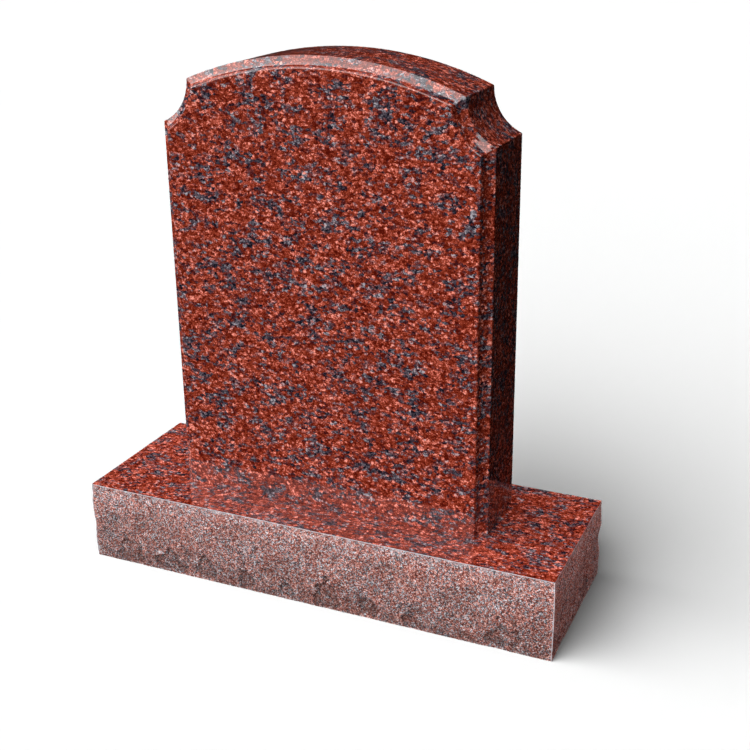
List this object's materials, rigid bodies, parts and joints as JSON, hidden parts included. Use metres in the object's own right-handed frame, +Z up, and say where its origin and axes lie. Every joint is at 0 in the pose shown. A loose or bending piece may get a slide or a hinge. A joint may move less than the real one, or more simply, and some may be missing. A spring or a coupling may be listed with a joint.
{
  "type": "headstone",
  "caption": "Upright polished red granite tablet with an arched top, scooped shoulders and a coved front edge, standing on a rock-pitched base that is polished on top.",
  "frame": {"origin": "middle of the base's flat underside, on the ground", "axes": "+Z up, +X to the right as seen from the front, the front faces -Y"},
  "size_m": [0.9256, 0.3161, 0.9655],
  "materials": {
    "pitched_granite": "rock-pitched red granite, polished on top",
    "polished_granite": "polished red granite"
  },
  "bodies": {
    "root": {"base": "pitched_granite", "tablet": "polished_granite"}
  },
  "joints": []
}
